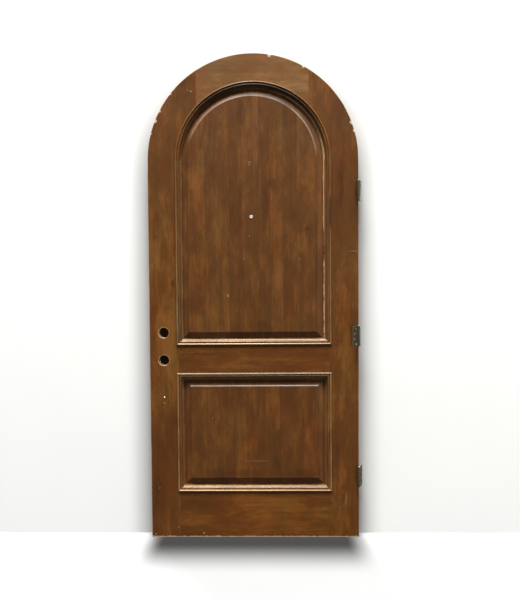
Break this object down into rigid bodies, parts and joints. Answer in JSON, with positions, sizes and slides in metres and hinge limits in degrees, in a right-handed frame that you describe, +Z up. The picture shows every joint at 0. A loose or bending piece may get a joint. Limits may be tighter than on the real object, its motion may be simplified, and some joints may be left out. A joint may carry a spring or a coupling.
{
  "type": "arched wooden door",
  "caption": "Round-topped stile-and-rail wooden door slab with raised panels, bolection mouldings, butt hinges, lock bores and a viewer.",
  "frame": {"origin": "middle of the slab's bottom edge, at mid-width and mid-thickness of the slab", "axes": "+X towards the hinge edge, -Y out of the face on the hinge barrels' side, +Z up"},
  "size_m": [1.0756, 0.101, 2.438],
  "materials": {
    "stile_wood": "stained and varnished, upright grain",
    "rail_wood": "stained and varnished, level grain",
    "panel_wood": "stained and varnished, glued strips",
    "moulding_wood": "stained, glossy, dark glaze in the quirks",
    "dowel_beech": "bare",
    "hinge_bronze": "aged bronze plating on steel",
    "screw_bronze": "aged bronze plating on steel",
    "viewer_brass": "polished, pale",
    "lens_glass": "clear",
    "bright_steel": "bright"
  },
  "bodies": {
    "door": {"lock_stile": "stile_wood", "hinge_stile": "stile_wood", "lock_haunch": "stile_wood", "hinge_haunch": "stile_wood", "head_rail": "rail_wood", "lock_rail": "rail_wood", "bottom_rail": "rail_wood", "upper_panel": "panel_wood", "lower_panel": "panel_wood", "front_arch_moulding": "moulding_wood", "front_upper_lock_moulding": "moulding_wood", "front_upper_hinge_moulding": "moulding_wood", "front_upper_sill_moulding": "moulding_wood", "front_lower_head_moulding": "moulding_wood", "front_lower_sill_moulding": "moulding_wood", "front_lower_lock_moulding": "moulding_wood", "front_lower_hinge_moulding": "moulding_wood", "back_arch_moulding": "moulding_wood", "back_upper_lock_moulding": "moulding_wood", "back_upper_hinge_moulding": "moulding_wood", "back_upper_sill_moulding": "moulding_wood", "back_lower_head_moulding": "moulding_wood", "back_lower_sill_moulding": "moulding_wood", "back_lower_lock_moulding": "moulding_wood", "back_lower_hinge_moulding": "moulding_wood", "haunch_dowels": "dowel_beech", "head_dowels": "dowel_beech", "lock_rail_dowels": "dowel_beech", "bottom_rail_dowels": "dowel_beech", "top_hinge_door_leaf": "hinge_bronze", "top_hinge_screws": "screw_bronze", "middle_hinge_door_leaf": "hinge_bronze", "middle_hinge_screws": "screw_bronze", "bottom_hinge_door_leaf": "hinge_bronze", "bottom_hinge_screws": "screw_bronze", "viewer_barrel": "viewer_brass", "viewer_sleeve": "viewer_brass", "viewer_lens": "lens_glass", "viewer_eyepiece": "lens_glass", "handle_screw": "bright_steel"},
    "top_jamb_leaf": {"top_hinge_jamb_leaf": "hinge_bronze", "top_hinge_pin": "hinge_bronze", "top_hinge_tip": "hinge_bronze"},
    "middle_jamb_leaf": {"middle_hinge_jamb_leaf": "hinge_bronze", "middle_hinge_pin": "hinge_bronze", "middle_hinge_tip": "hinge_bronze"},
    "bottom_jamb_leaf": {"bottom_hinge_jamb_leaf": "hinge_bronze", "bottom_hinge_pin": "hinge_bronze", "bottom_hinge_tip": "hinge_bronze"}
  },
  "joints": [
    {"name": "top_hinge_swing", "type": "hinge", "parent": "door", "child": "top_jamb_leaf", "pos_m": [0.5278, -0.03492, 1.753], "axis": [0, 0, -1], "range_deg": [-17, 253]},
    {"name": "middle_hinge_swing", "type": "hinge", "parent": "door", "child": "middle_jamb_leaf", "pos_m": [0.5278, -0.03492, 1.028], "axis": [0, 0, -1], "range_deg": [-220, 50]},
    {"name": "bottom_hinge_swing", "type": "hinge", "parent": "door", "child": "bottom_jamb_leaf", "pos_m": [0.5278, -0.03492, 0.314], "axis": [0, 0, -1], "range_deg": [-20, 250]}
  ]
}
